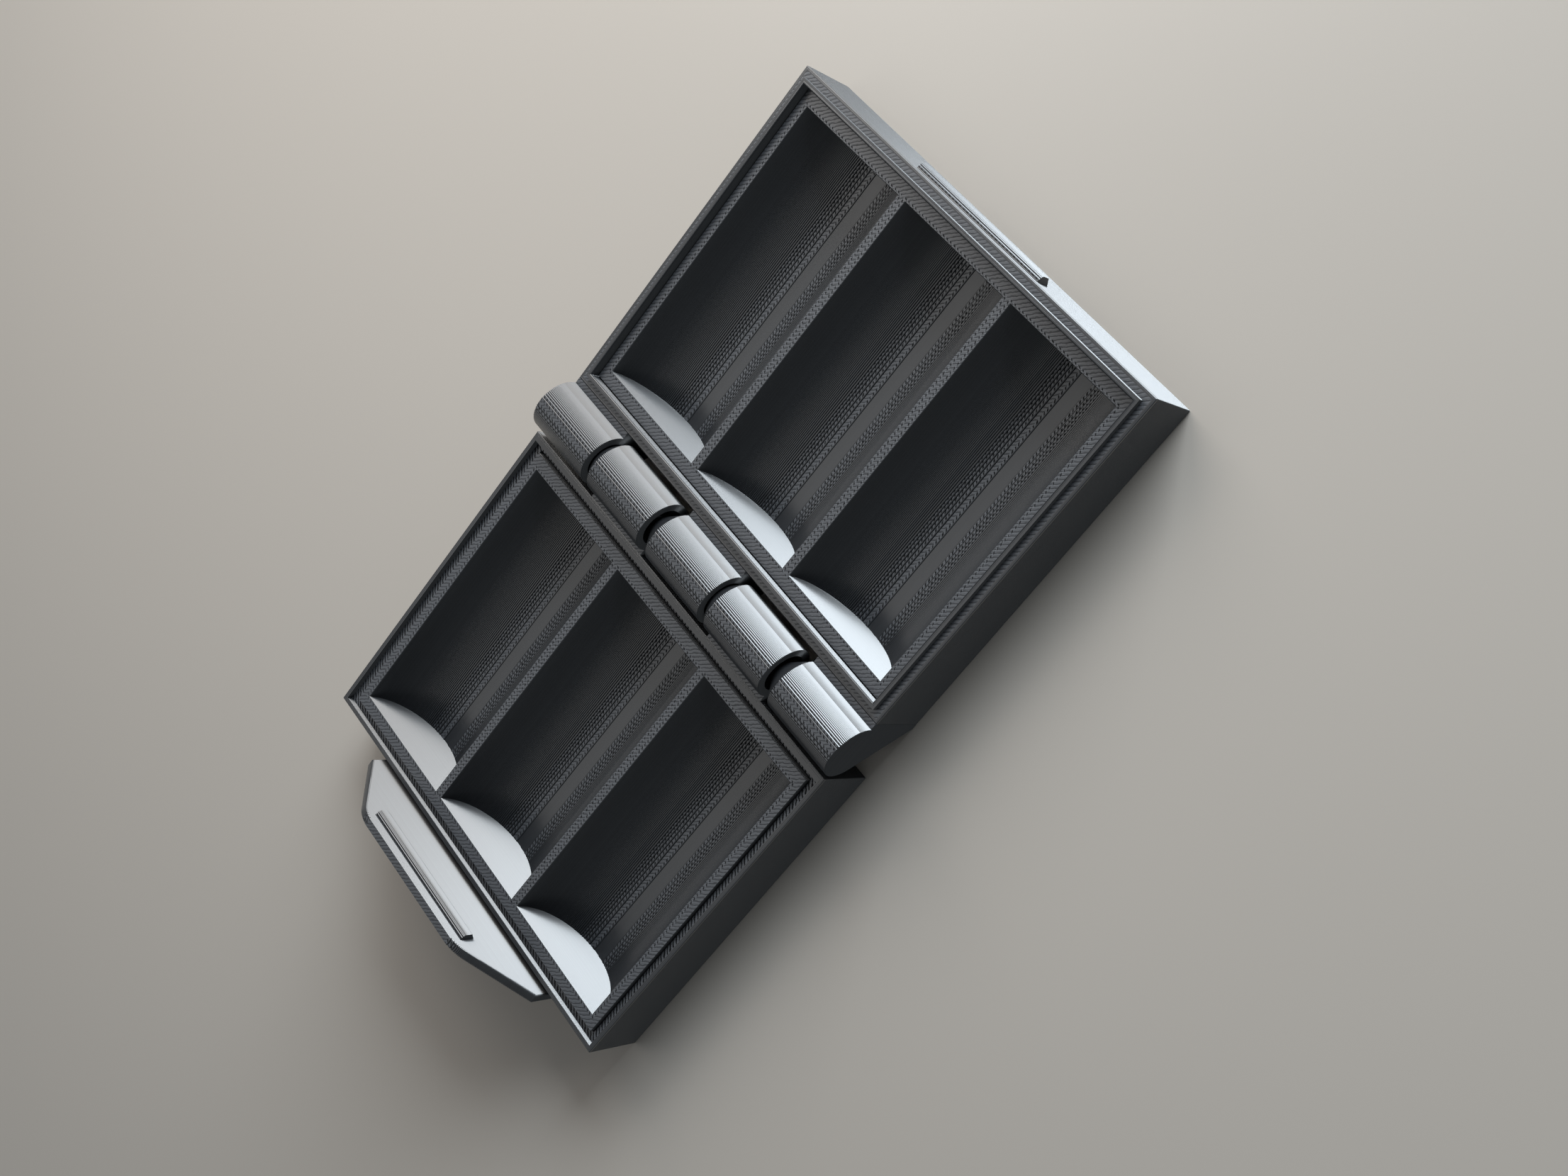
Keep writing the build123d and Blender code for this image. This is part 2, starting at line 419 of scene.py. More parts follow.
# %% [markdown]
# The hinge knuckles. The real hinge is printed in place: each knuckle is a barrel with a web
# down to its own wall, a cone on one end and a socket in the other. The barrel is round across
# the layers, so its top is a staircase: a wide level band on top, then treads that get narrower
# until the side is plain layers. One outline per half is extruded, and every knuckle is a copy.
# The cone is a primitive that is joined on, and the socket is cut with a Boolean modifier by
# the same primitive, made larger by the play.

# %% Knuckles
KNUCKLE_COUNT = 5
KNUCKLE_GAP = 3.0 * MM
CONE_TIP_RADIUS = 1.5 * MM
CONE_PLAY = 1.1 * MM
CONE_SIDES = 96
SLICE_AT = 0.25  # where in its height a barrel layer takes its outline
WELD = 0.05 * MM  # how far a joined form reaches into what carries it

case_width = base_high.x - base_low.x
knuckle_length = (case_width - (KNUCKLE_COUNT - 1) * KNUCKLE_GAP) / KNUCKLE_COUNT
knuckle_pitch = knuckle_length + KNUCKLE_GAP
cone_length = BARREL_RADIUS - CONE_TIP_RADIUS
socket_radius = BARREL_RADIUS - KNUCKLE_GAP + CONE_PLAY
socket_depth = cone_length + CONE_PLAY - KNUCKLE_GAP


def knuckle_points():
    """Outline of web and barrel, from the wall's foot round the barrel and back to the wall."""
    lean = BARREL_RADIUS / sqrt(2)
    wall = BACK + WELD
    far_side, near_side = [], []
    for low, high in layer_spans(0.0, hinge_z + BARREL_RADIUS):
        level = low + SLICE_AT * (high - low)
        chord = half_chord(BARREL_RADIUS, level - hinge_z)
        if level < hinge_z - lean:
            far_side.append((hinge_z - 2 * lean - level, low, high))
        else:
            far_side.append((-chord, low, high))
        if low > rim_z - TINY:
            near_side.append((chord, low, high))
    points = [(wall, 0.0, None)]
    points += layered_side(far_side, -1, 0.0)
    points += turned_round(layered_side(near_side, 1, 0.0))
    points += [(wall, rim_z, INFILL_SLOT), (wall, 0.0, WALL_SLOT)]
    return points


def add_plain_knuckle(side):
    """Web and barrel of one half as one extruded outline, from x = 0."""
    points = knuckle_points()
    y_start = hinge_y + side * points[0][0]
    moves = outline_moves(points, lambda across, up: (0, side * across, up))
    last = (knuckle_length, y_start, 0.0)
    return close_ends(extrude_outline("plain_knuckle", (0.0, y_start, 0.0), last, moves))


def add_knuckle(name, plain, x_start, with_cone, with_socket):
    """Copy of the plain knuckle, cone on the -X end, socket cut into the +X end."""
    barrel = copy_along_x(plain, x_start)
    if with_socket:
        depth = socket_depth + WELD
        cutter = add_cone(
            "socket", x_start + knuckle_length + WELD, depth, socket_radius + WELD
        )
        cut = barrel.modifiers.new("socket", "BOOLEAN")
        cut.object = cutter
        cut.operation = "DIFFERENCE"
        cut.solver = "EXACT"
        apply_modifier(barrel, cut)
        bpy.data.objects.remove(cutter)
    top = hinge_z + BARREL_RADIUS
    cut_layers(barrel, 0.0, top, lambda centre, normal: abs(normal.x) > 0.99)
    for x_end, out in ((x_start, -1), (x_start + knuckle_length, 1)):
        on_end = lambda vert: abs(vert.co.x - x_end) < TINY
        round_layers(barrel, 0.0, top, on_end, (out, 0, 0))
    if with_cone:
        cone = add_cone("cone", x_start + WELD, cone_length + WELD, BARREL_RADIUS)
        barrel = join([barrel, cone], name)
    barrel.name = name
    return barrel


def add_cone(name, x_base, length, radius):
    """Truncated cone on the hinge axis that narrows towards -X."""
    select_none()
    bpy.ops.mesh.primitive_cone_add(
        vertices=CONE_SIDES,
        radius1=radius,
        radius2=CONE_TIP_RADIUS,
        depth=length,
        location=(x_base - length / 2, hinge_y, hinge_z),
        rotation=(0, radians(-90), 0),
    )
    bpy.ops.object.transform_apply(location=True, rotation=True, scale=True)
    cone = bpy.context.object
    cone.name = name
    return add_slots(cone)


def add_knuckles(side, x_middle, numbers):
    """Knuckles of one half, counted from the -X end."""
    plain = add_plain_knuckle(side)
    made = []
    for number in numbers:
        centre = x_middle + (number - (KNUCKLE_COUNT - 1) / 2) * knuckle_pitch
        made.append(
            add_knuckle(
                f"knuckle_{number + 1}",
                plain,
                centre - knuckle_length / 2,
                with_cone=number > 0,
                with_socket=number < KNUCKLE_COUNT - 1,
            )
        )
    bpy.data.objects.remove(plain)
    return made


base_x = (base_low.x + base_high.x) / 2
lid_x = (lid_low.x + lid_high.x) / 2
base_knuckles = add_knuckles(1, base_x, (0, 2, 4))
lid_knuckles = add_knuckles(-1, lid_x, (1, 3))
print("faces in a knuckle", len(base_knuckles[0].data.polygons))

# %% [markdown]
# The shells are open boxes with a lip or a rabbet in the rim. Each starts as a box whose top
# face is inset and extruded: first the printed lines of the rim, each a low bead with a groove
# beside it, then the lip or the rabbet, and last the pocket. Insets keep the wall's thickness
# even all round, which a second box and a Boolean would not show so plainly. The base comes
# first: two lines, a strip of infill, then the lip with two lines on its top.


# %% Shell helpers
RIM_SLOPE = 0.05 * MM
RIM_BEAD_RISE = 0.03 * MM
EDGE_ROUND = 0.25 * MM
LONG_EDGE = 3 * MM


def inset(thickness, depth=0.0):
    """Insets the selected face or region."""
    bpy.ops.mesh.inset(thickness=thickness, depth=depth, use_boundary=True)


def rim_lines(count, width):
    """Printed lines along the rim of the selected face, each with sloping edges."""
    for number in range(count):
        if number:
            inset(RIM_SLOPE, RIM_BEAD_RISE)
        inset(width - (RIM_SLOPE if number == 0 else 2 * RIM_SLOPE))
        inset(RIM_SLOPE, -RIM_BEAD_RISE)


def drop_selected(depth):
    """Extrudes the selected face downwards."""
    bpy.ops.mesh.extrude_region_move(TRANSFORM_OT_translate={"value": (0, 0, -depth)})


def move_edge_of_face(piece, level, y_edge, shift):
    """Moves the edge of the inner face that lies along X at y_edge."""
    pick_edges(
        piece,
        lambda a, b: max(abs(a.y - y_edge), abs(b.y - y_edge)) < NEAR
        and max(abs(a.z - level), abs(b.z - level)) < 2 * RIM_BEAD_RISE,
    )
    bpy.ops.transform.translate(value=(0, shift, 0))


def paint_faces(piece, slot, wanted):
    """Gives the faces that pass a test a material slot."""
    for face in piece.data.polygons:
        if wanted(face.center, face.normal):
            face.material_index = slot


def round_edges(piece):
    """Rounds the long upright edges, as a nozzle does."""
    edit(piece)
    pick_edges(
        piece,
        lambda a, b: max(abs(a.x - b.x), abs(a.y - b.y)) < NEAR
        and abs(a.z - b.z) > LONG_EDGE,
    )
    bpy.ops.mesh.bevel(offset=EDGE_ROUND, segments=3, affect="EDGES")
    bpy.ops.object.mode_set(mode="OBJECT")


print("shell helpers ready")

# %% Base shell
base_box = add_box(
    "base_shell_print",
    (base_low.x, base_back, 0),
    (base_high.x, base_front, rim_z),
)
edit(base_box)
pick_faces(base_box, lambda centre, normal: normal.z > 0.9)
rim_lines(2, LINE)
ledge_infill = WALL - LIP_THICKNESS - 2 * LINE
inset(ledge_infill)
drop_selected(-LIP_HEIGHT - RIM_BEAD_RISE)
rim_lines(2, LIP_THICKNESS / 2)
drop_selected(LIP_HEIGHT + rim_z - SHELL_FLOOR - RIM_BEAD_RISE)
bpy.ops.object.mode_set(mode="OBJECT")
round_edges(base_box)
lip_top = rim_z + LIP_HEIGHT
cut_layers(base_box, 0.0, lip_top, lambda centre, normal: abs(normal.z) < 0.1)
round_layers(base_box, 0.0, lip_top, is_upright)


def on_base_ledge(centre, normal):
    """True on the level strip between the rim's printed lines and the lip."""
    if normal.z < 0.9 or abs(centre.z - rim_z) > 0.1 * MM:
        return False
    inside_x = (base_high.x - base_low.x) / 2 - abs(centre.x - base_x)
    inside_y = min(centre.y - base_back, base_front - centre.y)
    return min(inside_x, inside_y) > 2 * LINE


paint_faces(base_box, INFILL_SLOT, on_base_ledge)
print("base box faces", len(base_box.data.polygons))

# %% [markdown]
# The lid's shell has a rabbet where the base has its lip: three printed lines, then a step down
# that takes the lip when the case is shut. At the hinge the rim is wider, so after the insets
# the two edges along that side are moved.

# %% Lid shell
lid_box = add_box(
    "lid_shell_print",
    (lid_low.x, lid_front, 0),
    (lid_high.x, lid_back, rim_z),
)


def in_middle_of_lid(centre, normal):
    """True for the face that looks up in the middle of the lid, whatever its height."""
    near = abs(centre.x - lid_x) < MM and abs(centre.y - (lid_front + lid_back) / 2) < MM
    return normal.z > 0.9 and near


edit(lid_box)
pick_faces(lid_box, lambda centre, normal: normal.z > 0.9)
rim_lines(3, LID_RIM / 3)
back_extra = LID_BACK_RIM - LID_RIM
move_edge_of_face(lid_box, rim_z, lid_back - LID_RIM, -back_extra)
pick_faces(lid_box, in_middle_of_lid)
drop_selected(RABBET_DEPTH - RIM_BEAD_RISE)
inset(WALL - LID_RIM)
rabbet_z = rim_z - RABBET_DEPTH
move_edge_of_face(lid_box, rabbet_z, lid_back - LID_BACK_RIM - (WALL - LID_RIM), back_extra)
pick_faces(lid_box, in_middle_of_lid)
drop_selected(rabbet_z - SHELL_FLOOR)
bpy.ops.object.mode_set(mode="OBJECT")
round_edges(lid_box)
cut_layers(lid_box, 0.0, rim_z, lambda centre, normal: abs(normal.z) < 0.1)
round_layers(lid_box, 0.0, rim_z, is_upright)
paint_faces(
    lid_box,
    PINHOLE_SLOT,
    lambda centre, normal: normal.z > 0.9 and abs(centre.z - rabbet_z) < 0.1 * MM,
)
print("lid box faces", len(lid_box.data.polygons))

# %% [markdown]
# The trays, which hold the figures in three round-bottomed troughs. Each is a block whose top
# is cut by bisecting, so that the mouths of the troughs become faces of their own. These are
# deleted, and a stepped half-cylinder, extruded once and copied, is welded into each mouth. The
# end walls are then filled and sliced. A Boolean with three cylinders would be shorter, but it
# would leave no layers, and the layers are what the eye sees in a trough.

# %% Trays
TROUGH_RADIUS = 16.45 * MM
TROUGH_PITCH = 35.4 * MM
TROUGH_FLOOR = 0.6 * MM
HINGE_END_WALL = 3.35 * MM
FRONT_END_WALL = 3.2 * MM
TROUGH_SLICE_AT = 0.13  # where in its height a trough layer takes its outline
trough_bottom = SHELL_FLOOR + TROUGH_FLOOR
trough_axis = trough_bottom + TROUGH_RADIUS


def trough_points(top):
    """Stepped outline from one top edge of a trough down to its floor and up again."""
    left, right = [], []
    for low, high in layer_spans(trough_bottom, top):
        level = low + TROUGH_SLICE_AT * (high - low)
        half = half_chord(TROUGH_RADIUS, trough_axis - level)
        left.append((-half, low, high))
        right.append((half, low, high))
    points = turned_round(layered_side(left, 1, left[-1][0] - JOINT_PULL, CROWN))
    edge, low, high = right[0]  # the first line on the floor shows as a smooth, lighter strip
    points += [(edge, low, LINE_SLOT), (edge, high, LINE_SLOT)]
    strip, *rest = layered_side(right[1:], -1, right[-1][0] + JOINT_PULL, CROWN)
    return [*points, (*strip[:2], LINE_SLOT), *rest]


def add_tray(name, node, side):
    """Tray block of one half with its three troughs, and the level of its top."""
    low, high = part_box(node)
    x_middle = (low.x + high.x) / 2
    x_outer = (high.x - low.x) / 2 - WELD
    near = low.y if side > 0 else high.y
    far = high.y if side > 0 else low.y
    y_near = near + side * HINGE_END_WALL
    y_far = far - side * FRONT_END_WALL
    points = trough_points(high.z)
    half_mouth = -points[0][0]
    tray = add_box(name, low, high)
    edit(tray)
    cuts = [((0, y, 0), (0, 1, 0)) for y in (y_near, y_far)]
    for number in (-1, 0, 1):
        centre = x_middle + number * TROUGH_PITCH
        cuts += [((centre + e * half_mouth, 0, 0), (1, 0, 0)) for e in (-1, 1)]
    for place, normal in cuts:
        pick_faces(tray, lambda centre, normal: normal.z > 0.9)
        bpy.ops.mesh.bisect(plane_co=place, plane_no=normal, threshold=0.0001 * MM)
    y_low, y_high = sorted((y_near, y_far))

    def in_mouth(centre, normal):
        across = abs((centre.x - x_middle + 1.5 * TROUGH_PITCH) % TROUGH_PITCH - TROUGH_PITCH / 2)
        return normal.z > 0.9 and y_low < centre.y < y_high and across < half_mouth

    pick_faces(tray, in_mouth)
    bpy.ops.mesh.delete(type="ONLY_FACE")
    bpy.ops.object.mode_set(mode="OBJECT")
    moves = outline_moves(points, lambda across, up: (across, 0, up))
    x_start = x_middle - TROUGH_PITCH - half_mouth
    trough = extrude_outline("trough", (x_start, y_low, high.z), (x_start, y_high, high.z), moves)
    copies = [copy_along_x(trough, number * TROUGH_PITCH) for number in (1, 2)]
    tray = join([tray, trough, *copies], name)
    close_ends(tray)
    edit(tray)
    pick_faces(
        tray, lambda centre, normal: normal.z > 0.9 and abs(centre.z - high.z) < NEAR
    )
    inset(LINE)
    inset(PINHOLE)
    bpy.ops.object.mode_set(mode="OBJECT")
    cut_layers(
        tray, low.z, high.z, lambda centre, normal: abs(normal.z) < 0.1
        and (abs(normal.y) > 0.99 or abs(centre.x - x_middle) > x_outer)
    )
    for y_end, out in ((y_low, 1), (y_high, -1)):
        on_end = lambda vert: abs(vert.co.y - y_end) < TINY
        round_layers(tray, low.z, high.z, on_end, (0, out, 0))
    outside = lambda vert: is_upright(vert) and not y_low - MM < vert.co.y < y_high + MM
    round_layers(tray, low.z, high.z, outside)
    return tray, high.z


def paint_tray_top(tray, top):
    """Gives the inset top its line, pinhole and infill strips, told by their mitred ends."""
    points = tray.data.vertices
    for face in tray.data.polygons:
        if face.normal.z < 0.9 or abs(face.center.z - top) > NEAR:
            continue
        short_side = min((points[a].co - points[b].co).length for a, b in face.edge_keys)
        if abs(short_side - LINE * sqrt(2)) < 0.02 * MM:
            face.material_index = LINE_SLOT
        elif abs(short_side - PINHOLE * sqrt(2)) < 0.02 * MM:
            face.material_index = PINHOLE_SLOT
        else:
            face.material_index = INFILL_SLOT


base_tray, base_tray_top = add_tray("base_tray_print", "base_tray", 1)
lid_tray, lid_tray_top = add_tray("lid_tray_print", "lid_tray", -1)
paint_tray_top(base_tray, base_tray_top)
paint_tray_top(lid_tray, lid_tray_top)
print("tray faces", len(base_tray.data.polygons), len(lid_tray.data.polygons))

# %% [markdown]
# The snap. The catch on the base and the ridge on the tab have one section: an underside at 45
# degrees, which a printer can lay without support, an upright front, and a top that rolls over
# in the last few layers. Both are stepped outlines too, from one function.

# %% Catch and ridge
CATCH_WIDTH = 40.0 * MM
CATCH_RISE = 3.0 * MM
CATCH_DROP = 1.9 * MM
RIDGE_WIDTH = 40.0 * MM
RIDGE_DEPTH = 1.6 * MM
RIDGE_RISE = 2.9 * MM
ROLL_OVER = 10  # a higher power keeps the front upright for longer
TAB_THICKNESS = 2.3 * MM
LATCH_PLAY = 1.4 * MM


def snap_points(bottom, depth, rise):
    """Stepped section of a snap ridge, out from a wall and back to it."""
    nose = bottom + depth
    layers = []
    for low, high in layer_spans(bottom, nose + rise):
        level = (low + high) / 2
        if level < nose:
            out = level - bottom
        else:
            out = depth * (1 - ((level - nose) / rise) ** ROLL_OVER)
        layers.append((max(out, JOINT_PULL), low, high))
    points = [(-WELD, bottom, None), *layered_side(layers, 1, -WELD)]
    return [*points, (-WELD, bottom, WALL_SLOT)]


def add_snap_ridge(name, x_middle, y_face, width, bottom, depth, rise):
    """Snap ridge that stands out towards +Y from a face."""
    points = snap_points(bottom, depth, rise)
    moves = outline_moves(points, lambda across, up: (0, across, up))
    y_start = y_face + points[0][0]
    first = (x_middle - width / 2, y_start, bottom)
    last = (x_middle + width / 2, y_start, bottom)
    return close_ends(extrude_outline(name, first, last, moves))


catch_bottom = rim_z - CATCH_DROP - CATCH_RISE - CATCH_DEPTH
catch = add_snap_ridge(
    "catch", base_x, base_front, CATCH_WIDTH, catch_bottom, CATCH_DEPTH, CATCH_RISE
)
tab_outer = lid_low.y
tab_inner = tab_outer + TAB_THICKNESS
ridge_bottom = 2 * hinge_z - catch_bottom + LATCH_PLAY
ridge = add_snap_ridge(
    "ridge", lid_x, tab_inner, RIDGE_WIDTH, ridge_bottom, RIDGE_DEPTH, RIDGE_RISE
)
print("catch from", round(catch_bottom, 5), "ridge from", round(ridge_bottom, 5))

# %% [markdown]
# The tab is a springy upright plate with slanted shoulders and round upper corners. It is
# printed upright, so these become fine stairs along its edge: the same kind of outline again,
# with a half width worked out for every layer. The inner face gets a chamfer by extruding it
# and making it smaller, and both faces are sliced into layers. Its foot belongs to the lid.

# %% Latch tab
TAB_SHOULDER = 18.0 * MM
TAB_TOP_WIDTH = 43.0 * MM
TAB_CORNER_RADIUS = 9.5 * MM
TAB_CHAMFER = 0.4 * MM
tab_foot = tab_low.z
tab_top = tab_high.z
tab_half = (tab_high.x - tab_low.x) / 2


def tab_half_width(level):
    """Half the plate's width at a height: upright side, slant, then the rounded corner."""
    slant_run = tab_half - TAB_TOP_WIDTH / 2
    slant_rise = tab_top - TAB_SHOULDER
    if level < TAB_SHOULDER:
        return tab_half
    slant_length = sqrt(slant_run**2 + slant_rise**2)
    straight = tab_half - slant_run * (level - TAB_SHOULDER) / slant_rise
    centre_z = tab_top - TAB_CORNER_RADIUS
    shift = TAB_CORNER_RADIUS * slant_length / slant_rise
    centre_x = tab_half - slant_run * (centre_z - TAB_SHOULDER) / slant_rise - shift
    tangent_z = centre_z + TAB_CORNER_RADIUS * slant_run / slant_length
    if level < tangent_z:
        return straight
    return centre_x + half_chord(TAB_CORNER_RADIUS, level - centre_z)


def tab_points():
    """Stepped outline of the plate: up the -X side, over the top, down the +X side."""
    left, right = [], []
    for low, high in layer_spans(tab_foot, tab_top):
        half = tab_half_width((low + high) / 2)
        left.append((-half, low, high))
        right.append((half, low, high))
    points = [(0.0, tab_foot, None), *layered_side(left, -1, 0.0)]
    points += turned_round(layered_side(right, 1, 0.0))
    return [*points, (0.0, tab_foot, WALL_SLOT)]


moves = outline_moves(tab_points(), lambda across, up: (across, 0, up))
first = (lid_x, tab_outer, tab_foot)
last = (lid_x, tab_inner - TAB_CHAMFER, tab_foot)
tab = close_ends(extrude_outline("latch_tab_print", first, last, moves))
edit(tab)
pick_faces(tab, lambda centre, normal: normal.y > 0.9)
bpy.ops.mesh.extrude_region_move(TRANSFORM_OT_translate={"value": (0, TAB_CHAMFER, 0)})
bpy.ops.transform.resize(
    value=(1 - TAB_CHAMFER / tab_half, 1, 1), center_override=(lid_x, tab_inner, tab_foot)
)
bpy.ops.object.mode_set(mode="OBJECT")
cut_layers(tab, tab_foot, tab_top, lambda centre, normal: abs(normal.y) > 0.99)
for y_face, out in ((tab_outer, -1), (tab_inner, 1)):
    on_face = lambda vert: abs(vert.co.y - y_face) < TINY
    round_layers(tab, tab_foot, tab_top, on_face, (0, out, 0))
foot = add_box(
    "foot",
    (lid_x - tab_half, tab_outer, 0),
    (lid_x + tab_half, lid_front + WELD, tab_foot),
)
round_edges(foot)
print("tab faces", len(tab.data.polygons))

# %% [markdown]
# Now each piece takes the place of its node in the frame and rides on its body. Before that,
# its shading is set. Smooth shading alone would smear the normals of wide faces over the beads
# beside them, so grooves and corners are marked sharp, and a Weighted Normal modifier lets the
# widest face decide.

# %% Pieces that stand for the frame's nodes
BEAD_ANGLE = radians(32)  # steps within a bead are shaded smooth below this
CORNER_ANGLE = radians(50)
base_shell = join([base_box, *base_knuckles, catch], "base_shell_print")
lid_shell = join([lid_box, *lid_knuckles, foot], "lid_shell_print")
latch_tab = join([tab, ridge], "latch_tab_print")
dressed = {
    "base_shell": (base_shell, "base"),
    "base_tray": (base_tray, "base"),
    "lid_shell": (lid_shell, "lid"),
    "lid_tray": (lid_tray, "lid"),
    "latch_tab": (latch_tab, "latch"),
}


def is_corner(edge):
    """True where two upright sides of a layer meet, however much either leans up or down."""
    if len(edge.link_faces) != 2:
        return False
    level = [Vector((*face.normal.xy, 0)) for face in edge.link_faces]
    if min(way.length for way in level) < 0.2:  # one of the two is nearly level
        return False
    return level[0].angle(level[1]) > CORNER_ANGLE


def shade_layers(piece):
    """Smooth beads with sharp grooves and corners; the widest face decides a shared normal."""
    edit(piece)
    bpy.ops.mesh.select_mode(type="EDGE")
    bpy.ops.mesh.select_all(action="DESELECT")
    mesh = bmesh.from_edit_mesh(piece.data)
    for edge in mesh.edges:
        edge.select = is_corner(edge)
    bmesh.update_edit_mesh(piece.data)
    bpy.ops.mesh.mark_sharp()
    bpy.ops.object.mode_set(mode="OBJECT")
    bpy.ops.object.shade_smooth_by_angle(angle=BEAD_ANGLE, keep_sharp_edges=True)
    weigh = piece.modifiers.new("weigh normals", "WEIGHTED_NORMAL")
    weigh.keep_sharp = True
    apply_modifier(piece, weigh)


for node, (piece, body) in dressed.items():
    shade_layers(piece)
    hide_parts(node)
    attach(piece, body)
    print(node, len(piece.data.polygons), "faces")

# %% [markdown]
# The finish. All pieces are one charcoal plastic, and what changes is how the nozzle left it.
# Materials are node trees, and these helpers add a node, set its inputs and hand back its
# output, so that a tree reads as a formula.


# %% Node helpers
def add_node(tree, kind, **settings):
    """Adds a node and sets its properties, and its inputs by name or number in `inputs`."""
    inputs = settings.pop("inputs", {})
    node = tree.nodes.new(kind)
    for key, value in settings.items():
        setattr(node, key, value)
    for key, value in inputs.items():
        socket = node.inputs[key]
        if isinstance(value, bpy.types.NodeSocket):
            tree.links.new(value, socket)
        else:
            socket.default_value = value
    return node


def maths(tree, operation, a, b=0.0, c=0.0):
    """One Math node."""
    node = add_node(tree, "ShaderNodeMath", operation=operation, inputs={0: a, 1: b, 2: c})
    return node.outputs[0]


def vector_maths(tree, operation, a, b=(0, 0, 0), scale=None):
    """One Vector Math node."""
    inputs = {0: a, 1: b}
    if scale is not None:
        inputs = {0: a, 3: scale}
    return add_node(tree, "ShaderNodeVectorMath", operation=operation, inputs=inputs).outputs[0]


def noise(tree, place, scale, detail, roughness=0.5):
    """Noise texture on the given coordinates."""
    settings = {"Vector": place, "Scale": scale, "Detail": detail, "Roughness": roughness}
    return add_node(tree, "ShaderNodeTexNoise", inputs=settings).outputs["Fac"]


def ramp_between(tree, value, low, high):
    """0 below low, 1 above high, smooth in between."""
    node = add_node(
        tree, "ShaderNodeMapRange", interpolation_type="SMOOTHSTEP",
        inputs={"Value": value, "From Min": low, "From Max": high},
    )
    return node.outputs[0]


def turn_to(tree, vector, source, target):
    """Turns a direction from one space to another."""
    node = add_node(
        tree, "ShaderNodeVectorTransform", vector_type="VECTOR",
        convert_from=source, convert_to=target, inputs={0: vector},
    )
    return node.outputs[0]


def new_group(name, inputs, outputs):
    """Node group with named sockets: (name, kind, default) and (name, kind)."""
    tree = bpy.data.node_groups.new(name, "ShaderNodeTree")
    for label, kind, default in inputs:
        socket = tree.interface.new_socket(label, in_out="INPUT", socket_type=kind)
        socket.default_value = default
    for label, kind in outputs:
        tree.interface.new_socket(label, in_out="OUTPUT", socket_type=kind)
    return tree, tree.nodes.new("NodeGroupInput").outputs, tree.nodes.new("NodeGroupOutput").inputs


print("node helpers ready")

# %% [markdown]
# The marks on level faces. The layers are real beads by now, but the lines inside a layer are
# too many to model: they run at 45 degrees, and where the nozzle turns at their ends it leaves
# a row of pinholes. One node group works both out from the object's own coordinates. It turns
# the normal by a formula, so the lines catch the light even where they are finer than a pixel,
# and gives a mask of the pinholes and of the grooves between strokes, where the finishes paint
# the shade inside a hole. It also gives a grey for each layer, because no two layers shine alike.
# All four finishes use the group, each with its own values.

# %% Print relief group
WANDER = 0.25  # how far a line strays, in lines, over a stretch of this noise scale
WANDER_SCALE = 70.0
LOOSENESS = 0.8  # how unevenly marks are placed, in the same way
LOOSE_SCALE = 900.0
TURN_PITCH = 2 * LINE * sqrt(2)  # from one turn of the nozzle to the next
HOLE_SHARE = 0.42  # what a mark takes of its pitch
STROKE_SHARE = 0.35
SOFT_END = 0.08
relief, given, result = new_group(
    "print_relief",
    [
        ("Line Tilt", "NodeSocketFloat", 0.3),
        ("Holes", "NodeSocketFloat", 0.0),
        ("Strokes", "NodeSocketFloat", 0.0),
    ],
    [
        ("Normal", "NodeSocketVector"),
        ("Layer Grey", "NodeSocketFloat"),
        ("Marks", "NodeSocketFloat"),
    ],
)
place = relief.nodes.new("ShaderNodeTexCoord").outputs["Object"]
x, y, z = add_node(relief, "ShaderNodeSeparateXYZ", inputs={0: place}).outputs
normal = relief.nodes.new("ShaderNodeNewGeometry").outputs["Normal"]
own_normal = turn_to(relief, normal, "WORLD", "OBJECT")
nz = add_node(relief, "ShaderNodeSeparateXYZ", inputs={0: own_normal}).outputs[2]
top = ramp_between(relief, nz, 0.8, 0.95)

long_wave = noise(relief, place, WANDER_SCALE, 2.0)
wander = maths(relief, "MULTIPLY", maths(relief, "SUBTRACT", long_wave, 0.5), WANDER)
layer_number = maths(relief, "FLOOR", maths(relief, "MULTIPLY_ADD", z, 1 / LAYER, -0.01))
layer_grey = add_node(
    relief, "ShaderNodeTexWhiteNoise", noise_dimensions="1D", inputs={"W": layer_number}
).outputs["Value"]

diagonal = maths(relief, "DIVIDE", maths(relief, "SUBTRACT", x, y), LINE * sqrt(2))
line_phase = maths(relief, "ADD", diagonal, wander)
line_wave = maths(relief, "SINE", maths(relief, "MULTIPLY", line_phase, radians(360)))
line_tilt = maths(
    relief, "MULTIPLY", maths(relief, "MULTIPLY", line_wave, given["Line Tilt"]), top
)


def dash(tree, phase, share):
    """1 within a share of each period of a phase, with soft ends."""
    off = maths(tree, "ABSOLUTE", maths(tree, "SUBTRACT", maths(tree, "FRACT", phase), 0.5))
    outside = ramp_between(tree, off, share / 2 - SOFT_END, share / 2 + SOFT_END)
    return maths(tree, "SUBTRACT", 1.0, outside)


